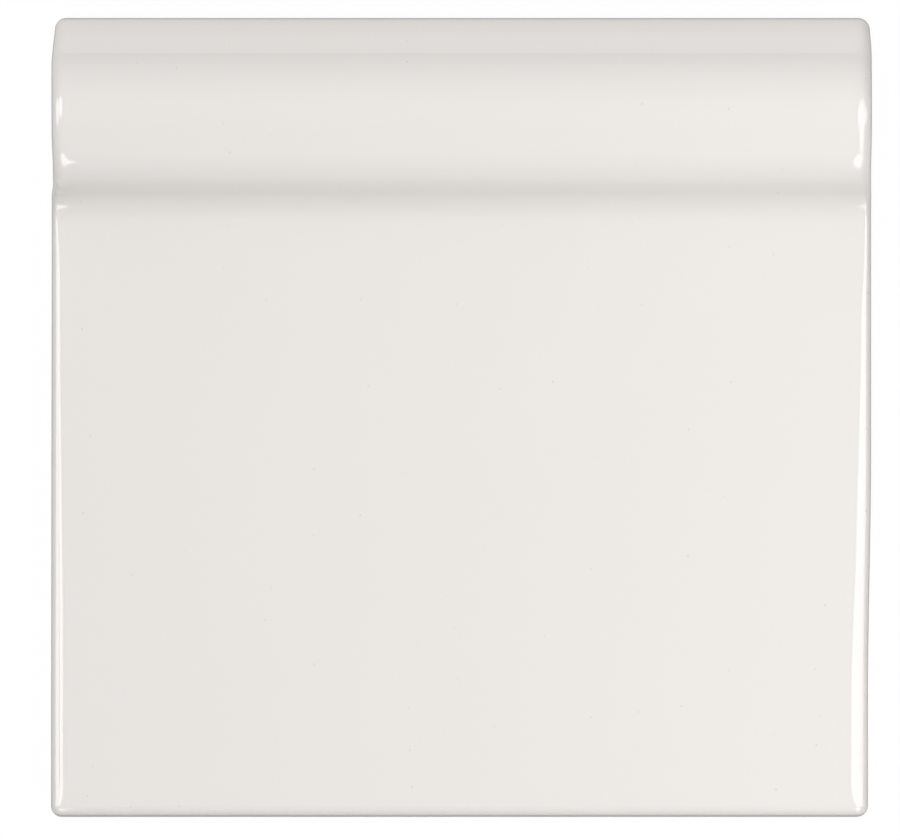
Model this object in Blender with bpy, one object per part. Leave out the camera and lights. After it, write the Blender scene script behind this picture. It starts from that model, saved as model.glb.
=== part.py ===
"""Glazed ceramic skirting tile, lying on its back.

It is pressed and fired in one piece: a flat plate with a moulding along its top edge, which
overhangs the plate's face. X runs along the wall that the tile is fixed to, +Y points to the
tile's top edge and +Z out of its glazed face. The origin lies under the middle of the tile,
in the plane of its back. Sizes are in metres.
"""

import math

import bmesh
import bpy
from mathutils import Vector

# The tile and its plate
WIDTH = 0.152
LENGTH = 0.148
PLATE_THICKNESS = 0.0075

# The moulding, from the top edge down: each run is measured along Y, and each slope from level
CREST_HEIGHT = 0.018
CREST_FROM_TOP = 0.0171
SHOULDER_RUN = 0.0025
SHOULDER_SLOPE = math.radians(33)
STEP_SLOPE = math.radians(27)
QUIRK_RADIUS = 0.004
QUIRK_SIDE = 0.0004
RISE_SLOPE = math.radians(34.5)
ROLL_RADIUS = 0.018
BROW_RUN = 0.0116
BROW_SLOPE = math.radians(12)
NOSE_RADIUS = 0.01
UNDERSIDE_SLOPE = math.radians(57)
HOLLOW_RADIUS = 0.006

# The rounded arrises: those at the two ends are wider than they are deep
TOP_ARRIS_RADIUS = 0.0015
SHOULDER_RADIUS = 0.012
FOOT_ARRIS_RADIUS = 0.0022
END_ARRIS_WIDTH = 0.003
END_ARRIS_DEPTH = 0.002
SHARPEST_RADIUS = 0.0001
BACK_CHAMFER = 0.0006

# The back: sunk keys for the adhesive, and a hollow that thins the moulding
KEY_SIDE = 0.0135
KEY_DEPTH = 0.0008
KEY_CORNER_RADIUS = 0.002
KEY_LAND = 0.004
BACK_MARGIN = 0.007
RELIEF_WIDTH = 0.0145
RELIEF_DEPTH = 0.005
RELIEF_CORNER_RADIUS = 0.003
RELIEF_FROM_CREST = 0.001
RELIEF_END_WALL = 0.011

# How finely the curves are divided
ARC_STEP = math.radians(7.5)
ARRIS_SEGMENTS = 6
POCKET_SEGMENTS = 3

CUT_CLEARANCE = 0.002
SMOOTH_UNDER = math.radians(30)

GLAZE_SLOT = 0
BISCUIT_SLOT = 1


def facing(tilt):
    """The way out, as (y, z), of a surface that leans by this angle towards the top edge."""
    return Vector((math.sin(tilt), math.cos(tilt)))


def downhill(start, run, slope):
    """The point that a straight surface reaches after this run towards the foot. It may climb."""
    return start + Vector((-run, -run * math.tan(slope)))


def section_corners():
    """The section's corners from the top edge to the foot as (y, z), each with its rounding radius.

    The roll is a corner too: it is placed so that its arc is level at the crest's height.
    """
    crest_y = LENGTH / 2 - CREST_FROM_TOP
    roll_centre = Vector((crest_y, CREST_HEIGHT - ROLL_RADIUS))
    roll_half_turn = (RISE_SLOPE + BROW_SLOPE) / 2
    roll_middle = facing((RISE_SLOPE - BROW_SLOPE) / 2)
    roll = roll_centre + roll_middle * (ROLL_RADIUS / math.cos(roll_half_turn))

    rise = ROLL_RADIUS * math.tan(roll_half_turn) + QUIRK_SIDE
    quirk = roll + Vector((math.cos(RISE_SLOPE), -math.sin(RISE_SLOPE))) * rise
    step_run = LENGTH / 2 - SHOULDER_RUN - quirk.x
    shoulder = downhill(quirk, -step_run, -STEP_SLOPE)
    top = downhill(shoulder, -SHOULDER_RUN, -SHOULDER_SLOPE)

    nose = downhill(roll, roll.x - crest_y + BROW_RUN, BROW_SLOPE)
    drop = nose.y - PLATE_THICKNESS
    hollow = downhill(nose, drop / math.tan(UNDERSIDE_SLOPE), UNDERSIDE_SLOPE)
    foot = Vector((-LENGTH / 2, PLATE_THICKNESS))
    return [
        (top, TOP_ARRIS_RADIUS),
        (shoulder, SHOULDER_RADIUS),
        (quirk, QUIRK_RADIUS),
        (roll, ROLL_RADIUS),
        (nose, NOSE_RADIUS),
        (hollow, HOLLOW_RADIUS),
        (foot, FOOT_ARRIS_RADIUS),
    ]


def fitting_radii(points, tilts, radii):
    """The radii, made smaller where two roundings would meet on the straight between them."""
    reach = [radius * math.tan(abs(a - b) / 2) for radius, a, b in zip(radii, tilts, tilts[1:])]
    fit = [1.0] * len(radii)
    for k in range(len(radii) - 1):
        straight = (points[k + 2] - points[k + 1]).length
        share = min(1.0, straight / (reach[k] + reach[k + 1]))
        fit[k] = min(fit[k], share)
        fit[k + 1] = min(fit[k + 1], share)
    return [radius * share for radius, share in zip(radii, fit)]


def rounded_corner(corner, before, after, radius, inset):
    """Points of the arc that rounds a corner between two tilts, when the outline is drawn in."""
    to_corner = facing((before + after) / 2) / math.cos((before - after) / 2)
    if before > after:
        signed_radius = max(radius - inset, SHARPEST_RADIUS)
    else:
        signed_radius = -radius - inset
    centre = corner - to_corner * (inset + signed_radius)
    segments = max(2, math.ceil(abs(before - after) / ARC_STEP))
    tilts = [before + (after - before) * step / segments for step in range(segments + 1)]
    return [centre + facing(tilt) * signed_radius for tilt in tilts]


def section(inset):
    """The outline from the back's top edge over the glazed face to its lower edge, drawn in."""
    half = LENGTH / 2
    corners, radii = zip(*section_corners())
    points = [Vector((half, 0)), *corners, Vector((-half, 0))]
    tilts = [math.atan2(b.y - a.y, a.x - b.x) for a, b in zip(points, points[1:])]
    outline = [Vector((half - inset, 0))]
    for k, radius in enumerate(fitting_radii(points, tilts, radii)):
        outline += rounded_corner(points[k + 1], tilts[k], tilts[k + 1], radius, inset)
    outline.append(Vector((inset - half, 0)))
    return outline


def stations():
    """Places along X from end to end, each with how far the section is drawn in there."""
    right = []
    for step in range(ARRIS_SEGMENTS + 1):
        angle = math.radians(90) * step / ARRIS_SEGMENTS
        x = WIDTH / 2 - END_ARRIS_WIDTH * (1 - math.sin(angle))
        right.append((x, END_ARRIS_DEPTH * (1 - math.cos(angle))))
    left = [(-x, inset) for x, inset in reversed(right)]
    return left + right


def tile_mesh():
    """The tile without its keys and hollow: the section lofted from one rounded end to the other."""
    bm = bmesh.new()
    rings = []
    for x, inset in stations():
        rings.append([bm.verts.new((x, point.x, point.y)) for point in section(inset)])

    last = len(rings[0]) - 2
    for near, far in zip(rings, rings[1:]):
        for k in range(last + 1):
            side = bm.faces.new((near[k], near[k + 1], far[k + 1], far[k]))
            side.material_index = BISCUIT_SLOT if k in (0, last) else GLAZE_SLOT

    left_end = bm.faces.new(rings[0])
    right_end = bm.faces.new(rings[-1])
    back = bm.faces.new([ring[0] for ring in rings] + [ring[-1] for ring in reversed(rings)])
    for face in (left_end, right_end, back):
        face.material_index = BISCUIT_SLOT

    bmesh.ops.recalc_face_normals(bm, faces=bm.faces)
    bmesh.ops.bevel(bm, geom=back.edges[:], offset=BACK_CHAMFER, segments=1, affect="EDGES")
    mesh = bpy.data.meshes.new("skirting_tile")
    bm.to_mesh(mesh)
    bm.free()
    mesh.shade_smooth()
    mesh.set_sharp_from_angle(angle=SMOOTH_UNDER)
    return mesh


def round_off(bm, edges, radius):
    """Rounds these edges of a cutter."""
    bmesh.ops.bevel(bm, geom=edges, offset=radius, segments=POCKET_SEGMENTS, profile=0.5, affect="EDGES")


def pocket_cutter(name, size_x, size_y, depth, corner_radius, floor_radius):
    """A block that sinks a rounded pocket into the back. Its origin is at the pocket's mouth."""
    bm = bmesh.new()
    bmesh.ops.create_cube(bm, size=1)
    height = depth + CUT_CLEARANCE
    bmesh.ops.scale(bm, vec=(size_x, size_y, height), verts=bm.verts)
    bmesh.ops.translate(bm, vec=(0, 0, depth - height / 2), verts=bm.verts)
    upright = [edge for edge in bm.edges if edge.verts[0].co.z != edge.verts[1].co.z]
    round_off(bm, upright, corner_radius)
    if floor_radius:
        floor = max(bm.faces, key=lambda face: face.calc_center_median().z)
        round_off(bm, floor.edges[:], floor_radius)
    for face in bm.faces:
        face.material_index = BISCUIT_SLOT
    mesh = bpy.data.meshes.new(name)
    bm.to_mesh(mesh)
    bm.free()
    cutter = bpy.data.objects.new(name, mesh)
    bpy.context.collection.objects.link(cutter)
    cutter.hide_render = True
    cutter.display_type = "WIRE"
    return cutter


def repeat(obj, axis, count, pitch):
    """Repeats an object along X (0) or Y (1)."""
    array = obj.modifiers.new("repeat_" + "xy"[axis], "ARRAY")
    array.use_relative_offset = False
    array.use_constant_offset = True
    array.constant_offset_displace = [pitch if k == axis else 0 for k in range(3)]
    array.count = count


def cut(body, cutter):
    """Takes a cutter out of the body."""
    boolean = body.modifiers.new("cut_" + cutter.name, "BOOLEAN")
    boolean.operation = "DIFFERENCE"
    boolean.solver = "EXACT"
    boolean.object = cutter


def sink_relief(body):
    """The long hollow behind the moulding. It stops short of both ends. Gives the Y of its lower side."""
    middle_y = LENGTH / 2 - CREST_FROM_TOP - RELIEF_FROM_CREST
    length = WIDTH - 2 * RELIEF_END_WALL
    cutter = pocket_cutter(
        "relief_cutter", length, RELIEF_WIDTH, RELIEF_DEPTH, RELIEF_CORNER_RADIUS, RELIEF_CORNER_RADIUS
    )
    cutter.location = (0, middle_y, 0)
    cut(body, cutter)
    return middle_y - RELIEF_WIDTH / 2


def sink_keys(body, upper_y):
    """Shallow square keys over the back of the plate, in as many whole rows and columns as fit."""
    pitch = KEY_SIDE + KEY_LAND
    room_x = WIDTH - 2 * BACK_MARGIN
    room_y = upper_y - KEY_LAND - (BACK_MARGIN - LENGTH / 2)
    columns = int((room_x + KEY_LAND) // pitch)
    rows = int((room_y + KEY_LAND) // pitch)
    cutter = pocket_cutter("key_cutter", KEY_SIDE, KEY_SIDE, KEY_DEPTH, KEY_CORNER_RADIUS, 0)
    first_x = -(columns - 1) * pitch / 2
    first_y = BACK_MARGIN - LENGTH / 2 + room_y / 2 - (rows - 1) * pitch / 2
    cutter.location = (first_x, first_y, 0)
    repeat(cutter, 0, columns, pitch)
    repeat(cutter, 1, rows, pitch)
    cut(body, cutter)


def finish(name, colour, roughness, coat):
    """A plain surface finish."""
    material = bpy.data.materials.new(name)
    material.use_nodes = True
    shader = material.node_tree.nodes["Principled BSDF"]
    shader.inputs["Base Color"].default_value = (*colour, 1)
    shader.inputs["Roughness"].default_value = roughness
    shader.inputs["Coat Weight"].default_value = coat
    return material


def clear_scene():
    for obj in list(bpy.data.objects):
        bpy.data.objects.remove(obj, do_unlink=True)


def main():
    clear_scene()
    tile = bpy.data.objects.new("skirting_tile", tile_mesh())
    bpy.context.collection.objects.link(tile)
    tile.data.materials.append(finish("cream_glaze", (0.83, 0.79, 0.75), 0.08, 1.0))
    tile.data.materials.append(finish("fired_biscuit", (0.72, 0.64, 0.55), 0.85, 0.0))
    relief_lower_y = sink_relief(tile)
    sink_keys(tile, relief_lower_y)


main()
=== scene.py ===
"""Glazed skirting tile: its fired finish, the studio and the camera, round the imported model.

Lengths are in metres. X runs along the wall, +Y to the tile's top edge and +Z out of its face.
"""

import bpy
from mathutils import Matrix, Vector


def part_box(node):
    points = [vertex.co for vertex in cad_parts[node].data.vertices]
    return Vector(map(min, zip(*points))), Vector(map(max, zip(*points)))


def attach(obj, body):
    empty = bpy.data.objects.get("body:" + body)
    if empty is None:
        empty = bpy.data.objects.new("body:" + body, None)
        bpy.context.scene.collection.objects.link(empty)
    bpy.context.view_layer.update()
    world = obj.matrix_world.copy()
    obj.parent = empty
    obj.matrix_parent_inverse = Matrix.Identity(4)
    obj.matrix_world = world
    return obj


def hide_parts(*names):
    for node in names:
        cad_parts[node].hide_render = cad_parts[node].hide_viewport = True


bl_info = {
    "name": "Glazed Skirting Tile",
    "version": (1, 0, 0),
    "blender": (4, 5, 0),
    "location": "3D View > Sidebar > Skirting Tile",
    "description": "Models a glazed ceramic skirting tile and lights it in a white studio",
    "category": "Object",
}

import math
from typing import NamedTuple

import bmesh
import bpy
from mathutils import Vector, noise

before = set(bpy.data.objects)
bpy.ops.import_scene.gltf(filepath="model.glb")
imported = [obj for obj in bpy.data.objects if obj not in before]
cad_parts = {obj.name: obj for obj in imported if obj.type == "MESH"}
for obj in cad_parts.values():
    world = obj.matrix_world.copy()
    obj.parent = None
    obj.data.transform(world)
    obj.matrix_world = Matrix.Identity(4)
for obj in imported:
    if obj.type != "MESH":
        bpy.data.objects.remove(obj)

NODE = "skirting_tile"
BODY = "root"
PIECE = "fired_tile"

# The CAD node's box gives the tile's overall size
LOW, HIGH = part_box(NODE)
WIDTH = HIGH.x - LOW.x
LENGTH = HIGH.y - LOW.y
HEIGHT = HIGH.z - LOW.z

# How finely the mesh is divided
CURVE_STEP = 0.0004
STRAIGHT_STEP = 0.002
ARRIS_STEPS = 14
MIDDLE_STEPS = 74
WALL_ROWS = 8
POCKET_CORNER_STEPS = 5
POCKET_LIP_STEPS = 3
POCKET_FLOOR_STEPS = 4
SHARP_OVER = math.radians(40)

# Uneven places of this tile, each as stops of (distance down from the top edge, size).
# The arrises at the ends narrow under the moulding and widen towards the foot.
RIGHT_ARRIS = (
    (0, 0.0022), (0.006, 0.003), (0.026, 0.0034), (0.035, 0.0012), (0.042, 0.0013),
    (0.058, 0.0021), (0.094, 0.0031), (0.13, 0.0042), (0.142, 0.0042), (0.148, 0.0022),
)
LEFT_ARRIS = (
    (0, 0.002), (0.006, 0.0025), (0.026, 0.0028), (0.0345, 0.0011),
    (0.048, 0.0018), (0.13, 0.0033), (0.142, 0.0033), (0.148, 0.002),
)
# The ends are drawn in at the top corners, a little under the nose, and on the right at the foot.
RIGHT_DRAWN_IN = (
    (0, 0.0004), (0.007, 0), (0.021, 0), (0.0275, 0.0001),
    (0.034, 0), (0.08, 0), (0.127, 0.0006),
)
LEFT_DRAWN_IN = (
    (0, 0.0009), (0.009, 0.00022), (0.021, 0.00026), (0.0275, 0.00045),
    (0.0305, 0.00045), (0.033, 0.00017), (0.1, 0.00008), (0.13, 0.00004),
)
# Three small lumps of glaze at the left end, where the moulding meets the plate: (x, y), height
GLAZE_LUMPS = (((-0.0747, 0.0434), 0.0005), ((-0.0743, 0.0427), 0.0003), ((-0.0748, 0.0415), 0.0005))
LUMP_RADIUS = 0.0004

# How far down a wall the clay has fallen back behind the glaze
RELIEF_RUN = 0.003
# The past_edge value of the back, which lies well past the glaze's edge
ALL_BARE = HEIGHT

# Where the finish changes. Each pair says where a change starts and where it is complete.
# The bare clay and the glaze's rim are placed from the glaze's edge. The thin glaze is placed from the
# tile's edge, and its darker colour also paints shade along the outline.
RAGGED_LENGTH = 0.009
RAGGED_HEIGHT = 0.0028
BARE_BAND = (-0.00012, 0.00012)
RIM_BAND = (-0.0009, -0.0003)
# The dark band along the outline is partly real thin glaze and partly painted shade of the steep edges
THIN_AND_SHADE_BAND = (-0.00036, -0.00006)
# At the foot the painted shade reaches further, as a painted shadow line along the lower edge
FOOT_SHADOW_REACH = 0.0002
FOOT_SHADOW_BAND = (0.0004 - LENGTH / 2, 0.0008 - LENGTH / 2)
# The glaze darkens in the hollow under the moulding, partly as pooled glaze and partly as painted shade
POOL_AND_SHADE_BAND = (0.0003, 0.0042)

# How long each of the noises is
CLOUD_LENGTH = 0.03
PEEL_LENGTH = 0.0035
FINE_PEEL_LENGTH = 0.0011
GRAIN_LENGTH = 0.0006
PATCH_LENGTH = 0.012
PIT_LENGTH = 0.0016
DENT_LENGTH = 0.004

# The pinholes lie in some of the cells of a grid. Their sizes are shares of the radius.
PINHOLE_SPACING = 0.0085
PINHOLE_RADIUS = 0.00022
PINHOLE_SHARE = 0.3
PINHOLE_SIZES = (0.6, 1.2)
PINHOLE_SOFTNESS = 0.4

# How far each turns the colour towards the darker one
CLOUD_SHADE = 0.1
RIM_SHADE = 0.2
# The pool's darkening is partly painted shade in the hollow
POOL_SHADE = 0.55
PINHOLE_SHADE = 0.45
PATCH_SHADE = 0.55
GRAIN_SHADE = 0.35
PIT_SHADE = 0.2

# How high each stands in the bump, in millimetres
BUMP_UNIT = 0.001
PEEL_HEIGHT = 0.0016
FINE_PEEL_HEIGHT = 0.0003
PINHOLE_DEPTH = 0.004
RIM_HEIGHT = 0.05
GRAIN_HEIGHT = 0.05
DENT_HEIGHT = 0.05
PIT_DEPTH = 0.06

# A lamp that leans less than this to either end lies straight over or under the tile's middle
LEAST_LEAN = 0.001


def length(name, description, default):
    """A length in metres that a user may change."""
    return bpy.props.FloatProperty(
        name=name, description=description, default=default, min=0, precision=5, unit="LENGTH"
    )


def slope(name, description, degrees):
    """An angle from level that a user may change."""
    return bpy.props.FloatProperty(
        name=name, description=description, default=math.radians(degrees), subtype="ANGLE"
    )


def colour(name, description, default):
    """A colour that a user may change."""
    return bpy.props.FloatVectorProperty(
        name=name, description=description, default=default, min=0, max=1, subtype="COLOR"
    )


def level(name, description, default):
    """A plain number that a user may change."""
    return bpy.props.FloatProperty(
        name=name, description=description, default=default, min=0, precision=3
    )


class MouldingSizes(bpy.types.PropertyGroup):
    """The tile's section. Each run is measured along Y, and each slope from level."""

    plate_thickness: length("Plate", "Thickness of the flat plate", 0.0075)
    crest_from_top: length("Crest from top", "From the top edge to the highest line", 0.0171)
    shoulder_run: length("Shoulder run", "Width of the band along the top edge", 0.0025)
    shoulder_slope: slope("Shoulder slope", "Slope of the band along the top edge", 33)
    step_slope: slope("Step slope", "Slope between the shoulder and the quirk", 27)
    quirk_radius: length("Quirk radius", "Hollow line between the step and the roll", 0.004)
    quirk_side: length("Quirk side", "Straight stretch between the quirk and the roll", 0.0004)
    rise_slope: slope("Rise slope", "Slope at which the roll starts", 34.5)
    roll_radius: length("Roll radius", "Radius of the roll that holds the crest", 0.018)
    brow_run: length("Brow run", "From the crest to the nose", 0.0116)
    brow_slope: slope("Brow slope", "Slope of the brow", 12)
    nose_radius: length("Nose radius", "Rounding of the nose", 0.01)
    underside_slope: slope("Underside slope", "Slope of the moulding's underside", 57)
    hollow_radius: length("Hollow radius", "Hollow where the moulding meets the plate", 0.006)


class EdgeSizes(bpy.types.PropertyGroup):
    """The rounded arrises and the bare edges."""

    top_arris_radius: length("Top arris", "Rounding of the top edge", 0.0015)
    shoulder_radius: length("Shoulder radius", "Rounding of the shoulder", 0.012)
    foot_arris_radius: length("Foot arris", "Rounding of the lower edge", 0.0022)
    end_arris_depth: length("End arris depth", "How far the section is drawn in at both ends", 0.002)
    sharpest_radius: length("Sharpest radius", "The least that a drawn-in arris keeps", 0.0001)
    back_chamfer: length("Back chamfer", "Chamfer round the back", 0.0006)
    glaze_relief: length("Glaze relief", "How far the bare clay lies behind the glaze", 0.00012)
    glaze_waves: length("Glaze waves", "Height of the glaze's slow waves", 0.00002)
    wave_length: length("Wave length", "Length of the glaze's slow waves", 0.014)


class BackSizes(bpy.types.PropertyGroup):
    """The sunk keys, and the hollow behind the moulding."""

    key_side: length("Key", "Side of a sunk key", 0.0135)
    key_depth: length("Key depth", "Depth of a sunk key", 0.0008)
    key_corner_radius: length("Key corner", "Corner radius of a key", 0.002)
    key_land: length("Land", "Flat land between two keys", 0.004)
    back_margin: length("Margin", "Least land along the edges", 0.007)
    relief_width: length("Hollow width", "Width of the hollow behind the moulding", 0.0145)
    relief_depth: length("Hollow depth", "Depth of the hollow behind the moulding", 0.005)
    relief_corner_radius: length("Hollow corner", "Corner radius of the hollow", 0.003)
    relief_from_crest: length("Hollow from crest", "From the crest's line to the hollow's", 0.001)
    relief_end_wall: length("Hollow end wall", "Solid clay at each end of the hollow", 0.011)
    lip_radius: length("Lip", "Rounding of a pocket's mouth", 0.0002)
    key_floor_radius: length("Key floor", "Rounding of a key's floor", 0.0003)


class TileFinish(bpy.types.PropertyGroup):
    """Colours and gloss of the fired tile."""

    glaze: colour("Glaze", "Colour of the cream glaze", (0.669, 0.6445, 0.6215))
    # Pooled glaze. In the hollow under the moulding it also gives painted shade
    pooled_glaze_and_shade: colour("Pooled glaze", "Colour of the glaze where it lies thick", (0.602, 0.577, 0.548))
    # This colour is darker than thin glaze alone, because it also paints the shade along the outline and
    # the shadow line at the foot
    thin_glaze_and_shade: colour("Thin glaze", "Colour where the glaze runs thin over the edges", (0.44, 0.425, 0.41))
    speck: colour("Speck", "Colour of the pinholes in the glaze", (0.5, 0.475, 0.44))
    biscuit: colour("Biscuit", "Colour of the bare fired clay", (0.66, 0.57, 0.46))
    biscuit_shade: colour("Biscuit shade", "Darker patches of the bare clay", (0.52, 0.43, 0.33))
    gloss: level("Glaze roughness", "Roughness of the glaze", 0.06)
    thin_matt: level("Thin glaze roughness", "Roughness that thin glaze adds", 0.4)
    matt: level("Biscuit roughness", "Roughness of the bare clay", 0.85)
    refraction: level("Refractive index", "Refractive index of the glaze", 1.55)
    glaze_edge: length("Glaze edge", "How far the glaze runs down the edges", 0.0016)


class StudioSettings(bpy.types.PropertyGroup):
    """The floor, the light from all round and the camera."""

    floor_side: length("Floor", "Side of the floor", 3.0)
    floor_overlap: length("Floor overlap", "How far the floor reaches under the tile", 0.0009)
    floor: colour("Floor colour", "Colour of the floor as the tile sees it", (0.25, 0.25, 0.25))
    floor_shading: level("Floor shading", "Share of real light and shadow in the floor's white", 0.1)
    ambient: level("Ambient", "Strength of the light from all round", 0.03)
    lens_mm: level("Lens", "Focal length in millimetres", 1200)
    view_width: length("View width", "Width that the picture takes in at the tile", 0.16694)
    view_x: length("View X", "How far left of the tile's middle the camera stands", 0.00204)
    view_y: length("View Y", "How far below the tile's middle the camera stands", 0.00044)


SETTINGS = {
    "skirting_moulding": MouldingSizes,
    "skirting_edges": EdgeSizes,
    "skirting_back": BackSizes,
    "skirting_finish": TileFinish,
    "skirting_studio": StudioSettings,
}


def smooth(share):
    """Eases a share from 0 to 1 in and out."""
    share = min(max(share, 0), 1)
    return share * share * (3 - 2 * share)


def along(stops, distance):
    """The size at this distance, eased between the two stops that it lies between."""
    for (near, first), (far, second) in zip(stops, stops[1:]):
        if distance <= far:
            return first + (second - first) * smooth((distance - near) / (far - near))
    return stops[-1][1]


def facing(tilt):
    """The way out, as (y, z), of a surface that leans by this angle towards the top edge."""
    return Vector((math.sin(tilt), math.cos(tilt)))


def downhill(start, run, tilt):
    """The point that a straight surface reaches after this run towards the foot."""
    return start + Vector((-run, -run * math.tan(tilt)))


def section_corners(sizes):
    """The section's corners from the top edge to the foot as (y, z)."""
    crest_y = LENGTH / 2 - sizes.crest_from_top
    roll_centre = Vector((crest_y, HEIGHT - sizes.roll_radius))
    half_turn = (sizes.rise_slope + sizes.brow_slope) / 2
    middle = facing((sizes.rise_slope - sizes.brow_slope) / 2)
    roll = roll_centre + middle * (sizes.roll_radius / math.cos(half_turn))

    rise = sizes.roll_radius * math.tan(half_turn) + sizes.quirk_side
    quirk = roll + Vector((math.cos(sizes.rise_slope), -math.sin(sizes.rise_slope))) * rise
    step_run = LENGTH / 2 - sizes.shoulder_run - quirk.x
    shoulder = downhill(quirk, -step_run, -sizes.step_slope)
    top = downhill(shoulder, -sizes.shoulder_run, -sizes.shoulder_slope)

    nose = downhill(roll, roll.x - crest_y + sizes.brow_run, sizes.brow_slope)
    drop = nose.y - sizes.plate_thickness
    hollow = downhill(nose, drop / math.tan(sizes.underside_slope), sizes.underside_slope)
    foot = Vector((-LENGTH / 2, sizes.plate_thickness))
    return [top, shoulder, quirk, roll, nose, hollow, foot]


def section_radii(sizes, edges):
    """The rounding radii of the section's corners, from the top edge to the foot."""
    return [
        edges.top_arris_radius, edges.shoulder_radius, sizes.quirk_radius, sizes.roll_radius,
        sizes.nose_radius, sizes.hollow_radius, edges.foot_arris_radius,
    ]


def fitting_radii(points, tilts, radii):
    """The radii, made smaller where two roundings would meet on the straight between them."""
    reach = [radius * math.tan(abs(a - b) / 2) for radius, a, b in zip(radii, tilts, tilts[1:])]
    fit = [1.0] * len(radii)
    for k in range(len(radii) - 1):
        straight = (points[k + 2] - points[k + 1]).length
        share = min(1.0, straight / (reach[k] + reach[k + 1]))
        fit[k] = min(fit[k], share)
        fit[k + 1] = min(fit[k + 1], share)
    return [radius * share for radius, share in zip(radii, fit)]


def rounded_corner(corner, before, after, radius, inset, sharpest):
    """Points of the arc that rounds a corner between two tilts, when the outline is drawn in."""
    to_corner = facing((before + after) / 2) / math.cos((before - after) / 2)
    signed_radius = max(radius - inset, sharpest) if before > after else -radius - inset
    centre = corner - to_corner * (inset + signed_radius)
    steps = max(3, math.ceil(abs(before - after) * radius / CURVE_STEP))
    tilts = [before + (after - before) * step / steps for step in range(steps + 1)]
    return [centre + facing(tilt) * signed_radius for tilt in tilts]


def section(sizes, edges, inset):
    """The outline over the glazed face and down both walls, drawn in, with its straights divided."""
    half = LENGTH / 2
    points = [Vector((half, 0)), *section_corners(sizes), Vector((-half, 0))]
    tilts = [math.atan2(b.y - a.y, a.x - b.x) for a, b in zip(points, points[1:])]
    radii = fitting_radii(points, tilts, section_radii(sizes, edges))
    outline = [Vector((half - inset, edges.back_chamfer))]
    for k, radius in enumerate(radii):
        arc = rounded_corner(points[k + 1], tilts[k], tilts[k + 1], radius, inset, edges.sharpest_radius)
        steps = math.ceil((points[k + 1] - points[k]).length / STRAIGHT_STEP) if k else WALL_ROWS
        start = outline[-1]
        outline += [start.lerp(arc[0], step / steps) for step in range(1, steps)]
        outline += arc
    foot = Vector((inset - half, edges.back_chamfer))
    start = outline[-1]
    outline += [start.lerp(foot, step / WALL_ROWS) for step in range(1, WALL_ROWS + 1)]
    return outline


def glaze_wave(x, y, edges):
    """How far the glaze's slow waves lower the face here."""
    place = Vector((x, y, 0)) / edges.wave_length
    return edges.glaze_waves * (noise.noise(place) - 1) / 2


def glaze_lump(x, y):
    """How far the small lumps of glaze stand out of the face here."""
    height = 0
    for (lump_x, lump_y), lump_height in GLAZE_LUMPS:
        distance = math.hypot(x - lump_x, y - lump_y) / LUMP_RADIUS
        height += lump_height * math.exp(-distance * distance)
    return height


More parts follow.
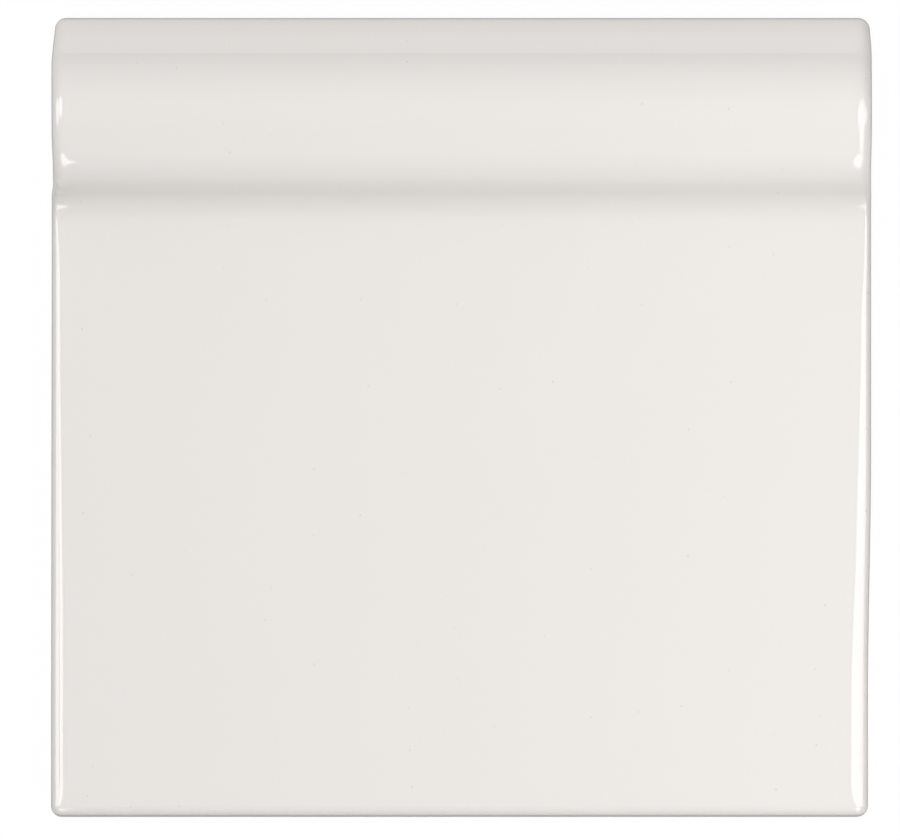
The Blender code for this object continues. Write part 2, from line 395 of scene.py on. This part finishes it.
class TileMesh:
    """Builds the fired tile. Its past_edge layer says how far past the tile's outline a vertex lies:

    0 on the outline seen from above, more than 0 down the walls and less than 0 on the face.
    """

    def __init__(self, scene):
        self.sizes = scene.skirting_moulding
        self.edges = scene.skirting_edges
        self.back = scene.skirting_back
        self.bm = bmesh.new()
        self.past_edge = self.bm.verts.layers.float.new("past_edge")

    def vertex(self, place, past_edge):
        vertex = self.bm.verts.new(place)
        vertex[self.past_edge] = past_edge
        return vertex

    def end_x(self, side, y, angle):
        """X in the arris of one end: 0 degrees where it starts, 90 where it meets the end's wall."""
        down = LENGTH / 2 - y
        width = along(RIGHT_ARRIS if side > 0 else LEFT_ARRIS, down)
        drawn_in = along(RIGHT_DRAWN_IN if side > 0 else LEFT_DRAWN_IN, down)
        return side * (WIDTH / 2 - drawn_in - width * (1 - math.sin(angle)))

    def stations(self):
        """From end to end: how far the section is drawn in there, and a function from y to x."""
        angles = [math.radians(90) * step / ARRIS_STEPS for step in range(ARRIS_STEPS + 1)]
        left, right = [], []
        for angle in angles:
            inset = self.edges.end_arris_depth * (1 - math.cos(angle))
            left.insert(0, (inset, lambda y, a=angle: self.end_x(-1, y, a)))
            right.append((inset, lambda y, a=angle: self.end_x(1, y, a)))
        middle = []
        for step in range(1, MIDDLE_STEPS):
            share = step / MIDDLE_STEPS
            middle.append((0, lambda y, s=share: self.end_x(-1, y, 0) * (1 - s) + self.end_x(1, y, 0) * s))
        return left + middle + right

    def ring(self, inset, x_at):
        """One section of the tile. Its walls lie a little behind the glaze that ends on them."""
        outline = section(self.sizes, self.edges, inset)
        last = len(outline) - 1
        ring = []
        for k, (y, z) in enumerate(outline):
            rows_down = max(WALL_ROWS - k, k - last + WALL_ROWS, 0)
            x = x_at(y)
            if rows_down:
                wall_top = outline[WALL_ROWS if k < WALL_ROWS else last - WALL_ROWS].y
                past_edge = wall_top - z
                x, y = self.behind_glaze(x, y, past_edge)
            else:
                to_end = min(x - self.end_x(-1, y, math.pi / 2), self.end_x(1, y, math.pi / 2) - x)
                past_edge = -min(to_end, LENGTH / 2 - inset - abs(y))
                z += glaze_wave(x, y, self.edges) + glaze_lump(x, y)
            ring.append(self.vertex((x, y, z), past_edge))
        return ring

    def behind_glaze(self, x, y, past_edge):
        """X and y of the bare clay, a little behind the glaze, this far down a wall."""
        relief = self.edges.glaze_relief * smooth(past_edge / RELIEF_RUN)
        return x * (1 - 2 * relief / WIDTH), y * (1 - 2 * relief / LENGTH)

    def end_wall(self, ring):
        """Closes one end with a grid whose columns hang from the face. Gives its lowest row."""
        face = ring[WALL_ROWS:len(ring) - WALL_ROWS]
        columns = [ring[:WALL_ROWS + 1]]
        for top in face[1:-1]:
            column = []
            for row in range(WALL_ROWS):
                z = self.edges.back_chamfer + (top.co.z - self.edges.back_chamfer) * row / WALL_ROWS
                past_edge = top.co.z - z
                x, y = self.behind_glaze(top.co.x, top.co.y, past_edge)
                column.append(self.vertex((x, y, z), past_edge))
            columns.append(column + [top])
        columns.append(ring[:len(ring) - WALL_ROWS - 2:-1])
        for near, far in zip(columns, columns[1:]):
            for row in range(WALL_ROWS):
                self.bm.faces.new((near[row], near[row + 1], far[row + 1], far[row]))
        return [column[0] for column in columns]

    def chamfer(self, loop):
        """The chamfer round the back. Gives the edges of the flat back's outline."""
        inner = []
        for k, vertex in enumerate(loop):
            before, after = loop[k - 1].co, loop[(k + 1) % len(loop)].co
            run = (after - before).to_2d().normalized()
            inward = Vector((run.y, -run.x)) * self.edges.back_chamfer
            place = (vertex.co.x + inward.x, vertex.co.y + inward.y, 0)
            inner.append(self.vertex(place, ALL_BARE))
        for k, vertex in enumerate(loop):
            after = (k + 1) % len(loop)
            self.bm.faces.new((vertex, loop[after], inner[after], inner[k]))
        return self.outline(inner)

    def outline(self, loop):
        """The edges of a closed loop."""
        edges = []
        for vertex, after in zip(loop, loop[1:] + loop[:1]):
            edges.append(self.bm.edges.get((vertex, after)) or self.bm.edges.new((vertex, after)))
        return edges

    def rounded_rectangle(self, centre, half_x, half_y, radius, z):
        """A loop of vertices round a rectangle with rounded corners."""
        loop = []
        for quarter in range(4):
            turn = math.radians(90) * quarter
            corner_x = math.copysign(half_x - radius, math.cos(turn + math.radians(45)))
            corner_y = math.copysign(half_y - radius, math.sin(turn + math.radians(45)))
            for step in range(POCKET_CORNER_STEPS + 1):
                angle = turn + math.radians(90) * step / POCKET_CORNER_STEPS
                x = centre[0] + corner_x + radius * math.cos(angle)
                y = centre[1] + corner_y + radius * math.sin(angle)
                loop.append(self.vertex((x, y, z), ALL_BARE))
        return loop

    def pocket(self, centre, size_x, size_y, depth, corner_radius, floor_radius):
        """A pocket sunk into the back, with a rounded mouth and floor. Gives its mouth's edges."""
        lip = self.back.lip_radius
        levels = []
        for step in range(POCKET_LIP_STEPS + 1):
            angle = math.radians(90) * step / POCKET_LIP_STEPS
            levels.append((lip * (1 - math.sin(angle)), lip * (1 - math.cos(angle))))
        for step in range(POCKET_FLOOR_STEPS + 1):
            angle = math.radians(90) * step / POCKET_FLOOR_STEPS
            z = depth - floor_radius * (1 - math.sin(angle))
            levels.append((floor_radius * (math.cos(angle) - 1), z))
        loops = []
        for outward, z in levels:
            half_x, half_y = size_x / 2 + outward, size_y / 2 + outward
            loops.append(self.rounded_rectangle(centre, half_x, half_y, corner_radius + outward, z))
        for upper, lower in zip(loops, loops[1:]):
            for k in range(len(upper)):
                self.bm.faces.new((upper[k - 1], upper[k], lower[k], lower[k - 1]))
        self.bm.faces.new(loops[-1])
        return self.outline(loops[0])

    def pockets(self):
        """The hollow behind the moulding, and as many whole rows and columns of keys as fit."""
        back = self.back
        relief_y = LENGTH / 2 - self.sizes.crest_from_top - back.relief_from_crest
        mouths = self.pocket(
            (0, relief_y), WIDTH - 2 * back.relief_end_wall, back.relief_width, back.relief_depth,
            back.relief_corner_radius, back.relief_corner_radius,
        )

        pitch = back.key_side + back.key_land
        room_x = WIDTH - 2 * back.back_margin
        lowest_y = back.back_margin - LENGTH / 2
        room_y = relief_y - back.relief_width / 2 - back.key_land - lowest_y
        columns = int((room_x + back.key_land) / pitch)
        rows = int((room_y + back.key_land) / pitch)
        for column in range(columns):
            for row in range(rows):
                x = (column - (columns - 1) / 2) * pitch
                y = lowest_y + room_y / 2 + (row - (rows - 1) / 2) * pitch
                mouths += self.pocket(
                    (x, y), back.key_side, back.key_side, back.key_depth,
                    back.key_corner_radius, back.key_floor_radius,
                )
        return mouths

    def build(self):
        """The whole tile as a mesh."""
        rings = [self.ring(inset, x_at) for inset, x_at in self.stations()]
        for near, far in zip(rings, rings[1:]):
            for k in range(len(near) - 1):
                self.bm.faces.new((near[k], near[k + 1], far[k + 1], far[k]))
        left_foot = self.end_wall(rings[0])
        right_foot = self.end_wall(rings[-1])
        top_foot = [ring[0] for ring in rings]
        lower_foot = [ring[-1] for ring in rings]
        loop = top_foot + right_foot[1:-1] + lower_foot[::-1] + left_foot[-2:0:-1]
        outlines = self.chamfer(loop) + self.pockets()
        bmesh.ops.triangle_fill(self.bm, use_beauty=True, edges=outlines)
        bmesh.ops.recalc_face_normals(self.bm, faces=self.bm.faces)
        mesh = bpy.data.meshes.new(PIECE)
        self.bm.to_mesh(mesh)
        self.bm.free()
        mesh.shade_smooth()
        mesh.set_sharp_from_angle(angle=SHARP_OVER)
        return mesh


class Wire:
    """A value in a shader. Arithmetic with it adds Math nodes."""

    def __init__(self, shader, socket):
        self.shader = shader
        self.socket = socket

    def maths(self, operation, *values):
        return self.shader.node("ShaderNodeMath", {"operation": operation}, dict(enumerate(values)))

    def __add__(self, other):
        return self.maths("ADD", self, other)

    __radd__ = __add__

    def __sub__(self, other):
        return self.maths("SUBTRACT", self, other)

    def __rsub__(self, other):
        return self.maths("SUBTRACT", other, self)

    def __mul__(self, other):
        return self.maths("MULTIPLY", self, other)

    __rmul__ = __mul__

    def __abs__(self):
        return self.maths("ABSOLUTE", self)

    def above(self, low, high):
        """0 below low, 1 above high and eased between them."""
        settings = {"interpolation_type": "SMOOTHSTEP"}
        return self.shader.node("ShaderNodeMapRange", settings, {0: self, 1: low, 2: high})

    def larger(self, other):
        return self.maths("MAXIMUM", self, other)


class Shader:
    """Adds nodes to a material or a world."""

    def __init__(self, owner):
        owner.use_nodes = True
        self.tree = owner.node_tree
        self.tree.nodes.clear()

    def node(self, kind, settings=None, inputs=None, output=0):
        """Adds a node: its settings first, then the values or wires of its sockets."""
        node = self.tree.nodes.new(kind)
        for name, value in (settings or {}).items():
            setattr(node, name, value)
        for key, value in (inputs or {}).items():
            if isinstance(value, Wire):
                self.tree.links.new(value.socket, node.inputs[key])
            else:
                node.inputs[key].default_value = value
        return Wire(self, node.outputs[output]) if node.outputs else None

    def mix(self, factor, first, second):
        """A colour between two colours."""
        inputs = {0: factor, 6: self.opaque(first), 7: self.opaque(second)}
        return self.node("ShaderNodeMix", {"data_type": "RGBA"}, inputs, output=2)

    @staticmethod
    def opaque(value):
        return value if isinstance(value, Wire) else (*value, 1)

    def noise(self, place, size, detail=2.0, roughness=0.5):
        """Noise whose features are about this long in metres."""
        inputs = {"Vector": place, "Scale": 1 / size, "Detail": detail, "Roughness": roughness}
        return self.node("ShaderNodeTexNoise", None, inputs)

    def pinholes(self, place):
        """Round dots on the face, in a share of the cells of a scattered grid."""
        settings = {"voronoi_dimensions": "2D"}
        inputs = {"Vector": place, "Scale": 1 / PINHOLE_SPACING}
        distance = self.node("ShaderNodeTexVoronoi", settings, inputs)
        cell = self.node("ShaderNodeTexVoronoi", settings, inputs, output="Color")
        red = self.node("ShaderNodeSeparateColor", None, {0: cell}, output=0)
        green = self.node("ShaderNodeSeparateColor", None, {0: cell}, output=1)
        least, most = PINHOLE_SIZES
        radius = PINHOLE_RADIUS / PINHOLE_SPACING
        dot = ((green * (most - least) + least) * radius - distance).above(0, PINHOLE_SOFTNESS * radius)
        return dot * red.above(1 - PINHOLE_SHARE, 1 - PINHOLE_SHARE + 0.01)


def fired_finish(finish, hollow_y):
    """Gloss cream glaze over the face and its arrises, which gives way to bare clay on the edges."""
    material = bpy.data.materials.new("cream_glaze_on_biscuit")
    shader = Shader(material)
    place = shader.node("ShaderNodeTexCoord", output="Object")
    past_edge = shader.node("ShaderNodeAttribute", {"attribute_name": "past_edge"}, output="Fac")

    # The glaze ends in a wavy line on the edges. It runs thin along the tile's outline. Its darker colour
    # there is partly thin glaze and partly painted shade, and at the foot it reaches further as a painted
    # shadow line.
    ragged = (shader.noise(place, RAGGED_LENGTH, 3.0) - 0.5) * RAGGED_HEIGHT
    past_glaze = past_edge + ragged - finish.glaze_edge
    bare = past_glaze.above(*BARE_BAND)
    rim = past_glaze.above(*RIM_BAND) * (1 - bare)
    y = shader.node("ShaderNodeSeparateXYZ", None, {0: place}, output=1)
    in_foot_shadow = 1 - y.above(*FOOT_SHADOW_BAND)
    thin_and_shaded = (past_edge + in_foot_shadow * FOOT_SHADOW_REACH).above(*THIN_AND_SHADE_BAND)

    # The glaze: faint clouds, a pool in the hollow that is partly thick glaze and partly painted shade,
    # pinholes, and the slight waves that firing leaves
    clouds = shader.noise(place, CLOUD_LENGTH)
    pinholes = shader.pinholes(place)
    pooled_and_shaded = 1 - abs(y - hollow_y).above(*POOL_AND_SHADE_BAND)
    glaze_shade = clouds * CLOUD_SHADE + rim * RIM_SHADE + pooled_and_shaded * POOL_SHADE
    glazed = shader.mix(glaze_shade, finish.glaze, finish.pooled_glaze_and_shade)
    glazed = shader.mix(pinholes * PINHOLE_SHADE, glazed, finish.speck)
    glazed = shader.mix(thin_and_shaded, glazed, finish.thin_glaze_and_shade)
    peel = shader.noise(place, PEEL_LENGTH, 1.0) * PEEL_HEIGHT
    fine_peel = shader.noise(place, FINE_PEEL_LENGTH, 1.0) * FINE_PEEL_HEIGHT
    glaze_height = peel + fine_peel - pinholes * PINHOLE_DEPTH + rim * RIM_HEIGHT

    # The bare clay: pressed grain, darker patches, small pits and shallow dents
    grain = shader.noise(place, GRAIN_LENGTH, 4.0, 0.6)
    patches = shader.noise(place, PATCH_LENGTH, 4.0, 0.6).above(0.3, 0.7)
    pits = shader.noise(place, PIT_LENGTH).above(0.66, 0.74)
    dents = shader.noise(place, DENT_LENGTH, 3.0)
    clay_shade = patches * PATCH_SHADE + grain * GRAIN_SHADE + pits * PIT_SHADE
    clay = shader.mix(clay_shade, finish.biscuit, finish.biscuit_shade)
    clay_height = grain * GRAIN_HEIGHT + dents * DENT_HEIGHT - pits * PIT_DEPTH

    height = glaze_height * (1 - bare) + clay_height * bare
    relief = {"Strength": 1.0, "Distance": BUMP_UNIT, "Height": height}
    glazed_roughness = finish.gloss + (1 - bare) * thin_and_shaded * finish.thin_matt
    surface = shader.node(
        "ShaderNodeBsdfPrincipled",
        None,
        {
            "Base Color": shader.mix(bare, glazed, clay),
            "Roughness": bare * (finish.matt - finish.gloss) + glazed_roughness,
            "IOR": finish.refraction,
            "Normal": shader.node("ShaderNodeBump", None, relief),
        },
    )
    shader.node("ShaderNodeOutputMaterial", None, {"Surface": surface})
    return material


class OBJECT_OT_skirting_tile(bpy.types.Operator):
    """Models the fired tile and its finish"""

    bl_idname = "object.skirting_tile_add"
    bl_label = "Fired Tile"

    def execute(self, context):
        scene = context.scene
        tile = bpy.data.objects.new(PIECE, TileMesh(scene).build())
        context.collection.objects.link(tile)
        # The last corner but one is the hollow's, and its first coordinate is its y
        hollow = section_corners(scene.skirting_moulding)[-2]
        tile.data.materials.append(fired_finish(scene.skirting_finish, hollow.x))
        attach(tile, BODY)
        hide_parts(NODE)
        return {"FINISHED"}


class Softbox(NamedTuple):
    """An oval lamp, seen from the end of the tile that it is nearer to. Angles are in degrees."""

    from_overhead: float
    round_from_x: float
    half_across: float
    half_upright: float
    distance: float
    radiance: float
    shows_in_gloss: bool = True


# The fill under the tile lights only its back, through the floor's opening
SOFTBOXES = {
    "right_softbox": Softbox(34, 0, 19.5, 19.5, 0.45, 3.9),
    "right_low_softbox": Softbox(59, 0, 8, 8, 0.7, 3.9),
    "left_softbox": Softbox(33, 169, 11.5, 11.5, 1.5, 4.4),
    "left_low_softbox": Softbox(57, 180, 13, 13, 1.5, 4.0),
    "lower_right_softbox": Softbox(50, -60, 20, 15, 0.7, 4.1),
    "lower_left_softbox": Softbox(48, -116, 18.5, 12.5, 1.5, 4.1),
    "top_fill": Softbox(52, 105, 38, 38, 0.7, 1.33, shows_in_gloss=False),
    "under_fill": Softbox(180, 90, 40, 40, 0.7, 1.5, shows_in_gloss=False),
}


def shines_white(shader):
    """1 for the rays that should find a plain white background, 0 for those that light the tile."""
    rays = [
        shader.node("ShaderNodeLightPath", output=name)
        for name in ("Is Camera Ray", "Is Glossy Ray", "Is Transmission Ray")
    ]
    return rays[0].larger(rays[1]).larger(rays[2])


def studio_world(studio):
    """White to the camera and in reflections, and a soft light from all round to everything else."""
    world = bpy.data.worlds.new("studio")
    shader = Shader(world)
    white = shader.node("ShaderNodeBackground", None, {"Color": (1, 1, 1, 1), "Strength": 1.0})
    soft = shader.node("ShaderNodeBackground", None, {"Color": (1, 1, 1, 1), "Strength": studio.ambient})
    mixed = shader.node("ShaderNodeMixShader", None, {0: shines_white(shader), 1: soft, 2: white})
    shader.node("ShaderNodeOutputWorld", None, {"Surface": mixed})
    return world


def floor_paper(studio):
    """Paper that photographs white and keeps the tile's shadow."""
    material = bpy.data.materials.new("floor_paper")
    shader = Shader(material)
    share = studio.floor_shading
    # White and the lit paper's share add up to 1 where nothing shades the floor
    strength = (1 - share * studio.floor[0]) / (1 - share)
    paper = shader.node("ShaderNodeBsdfDiffuse", None, {"Color": (*studio.floor, 1)})
    white = shader.node("ShaderNodeEmission", None, {"Color": (1, 1, 1, 1), "Strength": strength})
    whiteness = shines_white(shader) * (1 - share)
    mixed = shader.node("ShaderNodeMixShader", None, {0: whiteness, 1: paper, 2: white})
    shader.node("ShaderNodeOutputMaterial", None, {"Surface": mixed})
    return material


def studio_floor(studio):
    """A pale floor. It is open under the tile, so that the back can be seen from below."""
    bm = bmesh.new()
    far = studio.floor_side / 2
    outer = [bm.verts.new((x * far, y * far, 0)) for x, y in ((-1, -1), (1, -1), (1, 1), (-1, 1))]
    near_x = WIDTH / 2 - studio.floor_overlap
    near_y = LENGTH / 2 - studio.floor_overlap
    inner = [bm.verts.new((x * near_x, y * near_y, 0)) for x, y in ((-1, -1), (1, -1), (1, 1), (-1, 1))]
    for k in range(4):
        bm.faces.new((outer[k - 1], outer[k], inner[k], inner[k - 1]))
    mesh = bpy.data.meshes.new("studio_floor")
    bm.to_mesh(mesh)
    bm.free()
    floor = bpy.data.objects.new("studio_floor", mesh)
    bpy.context.collection.objects.link(floor)
    mesh.materials.append(floor_paper(studio))


def add_softbox(name, box):
    """A lamp that faces the end of the tile that it is nearer to, or its middle."""
    overhead, turn = math.radians(box.from_overhead), math.radians(box.round_from_x)
    sideways = math.sin(overhead)
    outward = Vector((sideways * math.cos(turn), sideways * math.sin(turn), math.cos(overhead)))
    to_end = WIDTH / 2 if abs(outward.x) > LEAST_LEAN else 0
    target = Vector((math.copysign(to_end, outward.x), 0, HEIGHT))
    light = bpy.data.lights.new(name, "AREA")
    light.shape = "ELLIPSE"
    light.size = 2 * box.distance * math.tan(math.radians(box.half_across))
    light.size_y = 2 * box.distance * math.tan(math.radians(box.half_upright))
    area = math.pi * light.size * light.size_y / 4
    light.energy = box.radiance * math.pi * area
    lamp = bpy.data.objects.new(name, light)
    bpy.context.collection.objects.link(lamp)
    lamp.location = target + outward * box.distance
    lamp.rotation_euler = outward.to_track_quat("Z", "Y").to_euler()
    lamp.visible_camera = False
    lamp.visible_glossy = box.shows_in_gloss


def overhead_camera(studio):
    """A camera with a long lens that looks straight down at the tile."""
    data = bpy.data.cameras.new("overhead_camera")
    data.lens = studio.lens_mm
    distance = studio.view_width * data.lens / data.sensor_width
    camera = bpy.data.objects.new("overhead_camera", data)
    bpy.context.collection.objects.link(camera)
    camera.location = (-studio.view_x, -studio.view_y, distance)
    data.clip_end = 2 * distance
    return camera


class SCENE_OT_skirting_studio(bpy.types.Operator):
    """Sets the pale floor, the lights and the camera"""

    bl_idname = "scene.skirting_studio_set"
    bl_label = "White Studio"

    def execute(self, context):
        scene = context.scene
        studio = scene.skirting_studio
        scene.view_settings.view_transform = "Standard"
        scene.world = studio_world(studio)
        studio_floor(studio)
        for name, box in SOFTBOXES.items():
            add_softbox(name, box)
        scene.camera = overhead_camera(studio)
        return {"FINISHED"}


OPERATORS = (OBJECT_OT_skirting_tile, SCENE_OT_skirting_studio)


class VIEW3D_PT_skirting_tile(bpy.types.Panel):
    """Lists the tile, its studio and their settings"""

    bl_label = "Skirting Tile"
    bl_space_type = "VIEW_3D"
    bl_region_type = "UI"
    bl_category = "Skirting Tile"

    def draw(self, context):
        for operator in OPERATORS:
            self.layout.operator(operator.bl_idname)
        for name in SETTINGS:
            group = getattr(context.scene, name)
            box = self.layout.box()
            for setting in group.__annotations__:
                box.prop(group, setting)


CLASSES = (*SETTINGS.values(), *OPERATORS, VIEW3D_PT_skirting_tile)


def register():
    for cls in CLASSES:
        bpy.utils.register_class(cls)
    for name, group in SETTINGS.items():
        setattr(bpy.types.Scene, name, bpy.props.PointerProperty(type=group))


def unregister():
    for name in SETTINGS:
        delattr(bpy.types.Scene, name)
    for cls in reversed(CLASSES):
        bpy.utils.unregister_class(cls)


def main():
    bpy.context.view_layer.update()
    register()
    bpy.ops.object.skirting_tile_add()
    bpy.ops.scene.skirting_studio_set()


if __name__ == "__main__":
    main()
